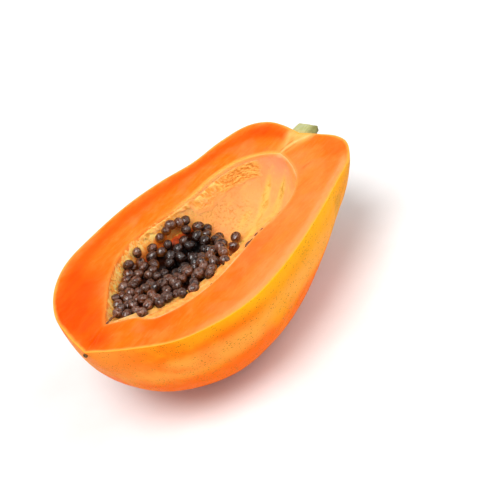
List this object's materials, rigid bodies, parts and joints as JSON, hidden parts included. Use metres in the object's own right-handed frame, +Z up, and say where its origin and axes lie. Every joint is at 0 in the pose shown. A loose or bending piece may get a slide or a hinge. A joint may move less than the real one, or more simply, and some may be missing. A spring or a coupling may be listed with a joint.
{
  "type": "halved papaya",
  "caption": "Half of a ripe papaya cut lengthwise, lying cut face up, with an open seed cavity, a heap of dark seeds and a stub of stem.",
  "frame": {"origin": "middle of the small flat spot on the underside that the half rests on", "axes": "+X along the fruit towards the stem, +Y towards the left edge of the cut face seen from the blossom end, +Z up, out of the cut face"},
  "size_m": [0.2161, 0.1403, 0.077],
  "materials": {
    "flesh": "moist orange flesh in a thin satin peel, yellow to orange",
    "seed": "wet, wrinkled, brown-black",
    "stem": "matt, fibrous, pale green"
  },
  "bodies": {
    "root": {"papaya_half": "flesh", "seed_heap": "seed", "stem_stub": "stem", "loose_seed_1": "seed", "loose_seed_2": "seed"}
  },
  "joints": []
}
